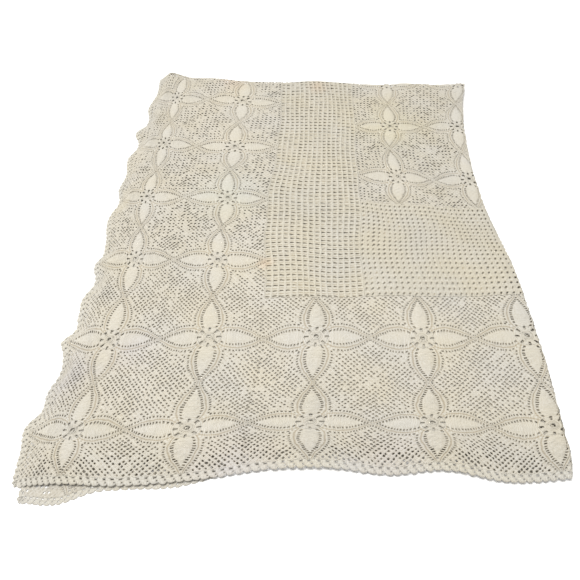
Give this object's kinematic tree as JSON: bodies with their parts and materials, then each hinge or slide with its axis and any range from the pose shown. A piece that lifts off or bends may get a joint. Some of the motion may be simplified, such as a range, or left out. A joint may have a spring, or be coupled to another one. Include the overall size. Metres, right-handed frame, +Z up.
{
  "type": "crochet bedspread",
  "caption": "Openwork crochet bedspread of flower squares and mesh bands with a scalloped hem, folded in quarters and lying flat.",
  "frame": {"origin": "under the middle of the folded bedspread, on the surface it lies on", "axes": "+Z up out of the stack; +Y towards the far fold, along the bedspread's length; +X towards the lengthwise fold"},
  "size_m": [0.9759, 1.282, 0.0304],
  "materials": {
    "flower_cotton": "matte cream crochet cotton with raised petals and eyelets",
    "mesh_cotton": "matte cream crochet cotton, open mesh with raised ribs"
  },
  "bodies": {
    "root": {"flower_border": "flower_cotton", "side_band_left": "mesh_cotton", "side_band_right": "mesh_cotton", "end_band_near": "mesh_cotton", "end_band_far": "mesh_cotton", "flower_centre": "flower_cotton"}
  },
  "joints": []
}
